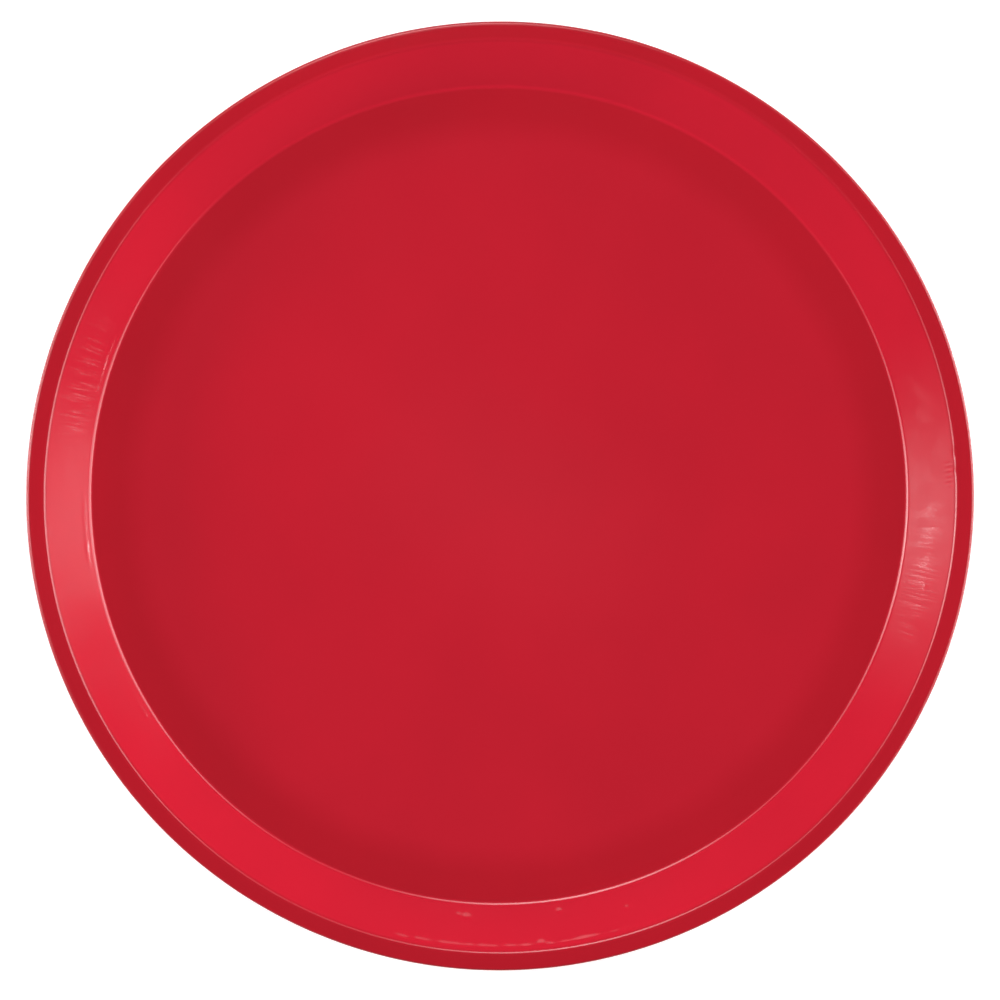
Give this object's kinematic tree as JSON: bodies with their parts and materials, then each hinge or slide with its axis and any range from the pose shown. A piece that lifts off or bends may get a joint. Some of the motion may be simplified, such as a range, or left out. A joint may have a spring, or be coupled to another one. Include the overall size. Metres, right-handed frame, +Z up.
{
  "type": "round serving tray",
  "caption": "Shallow round serving tray with a flat floor, a sloping wall, a flat ledge and a solid reinforced rim.",
  "frame": {"origin": "centre of the tray at the underside of the floor, on the surface it stands on", "axes": "+Z up along the tray's axis, out of the open side; +X and +Y are any two square directions in the floor"},
  "size_m": [0.3556, 0.3556, 0.0165],
  "materials": {
    "upper_skin": "gloss",
    "glass_mat": "matte",
    "rim_roving": "matte",
    "rim_rod": "satin",
    "lower_skin": "satin"
  },
  "bodies": {
    "root": {"upper_skin": "upper_skin", "glass_mat": "glass_mat", "rim_roving": "rim_roving", "rim_rod": "rim_rod", "lower_skin": "lower_skin"}
  },
  "joints": []
}
